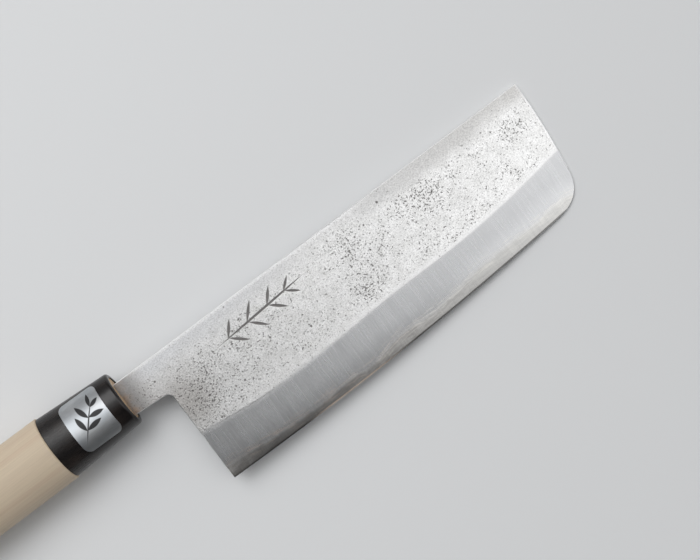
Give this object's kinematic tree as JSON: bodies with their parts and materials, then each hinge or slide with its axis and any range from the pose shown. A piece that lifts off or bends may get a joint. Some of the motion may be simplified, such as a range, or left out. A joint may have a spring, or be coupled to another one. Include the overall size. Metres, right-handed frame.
{
  "type": "nakiri knife",
  "caption": "Straight-edged vegetable knife with a rectangular three-layer blade, oval wooden handle, black ferrule and foil label.",
  "frame": {"origin": "middle of the bounding box's footprint, level with the lowest point of the handle as the knife lies on its left face", "axes": "+X along the handle to the tip, +Y to the spine, +Z out of the right face"},
  "size_m": [0.3116, 0.0614, 0.02],
  "materials": {
    "hard_steel": "fine ground satin, polished at the edge",
    "soft_iron": "pear-skin pitted flats over a satin ground bevel",
    "pale_wood": "bare sanded, straight grain",
    "black_ferrule": "glossy black",
    "silver_foil": null
  },
  "bodies": {
    "root": {"core_steel": "hard_steel", "cladding_right": "soft_iron", "cladding_left": "soft_iron", "handle": "pale_wood", "ferrule": "black_ferrule", "label": "silver_foil"}
  },
  "joints": []
}
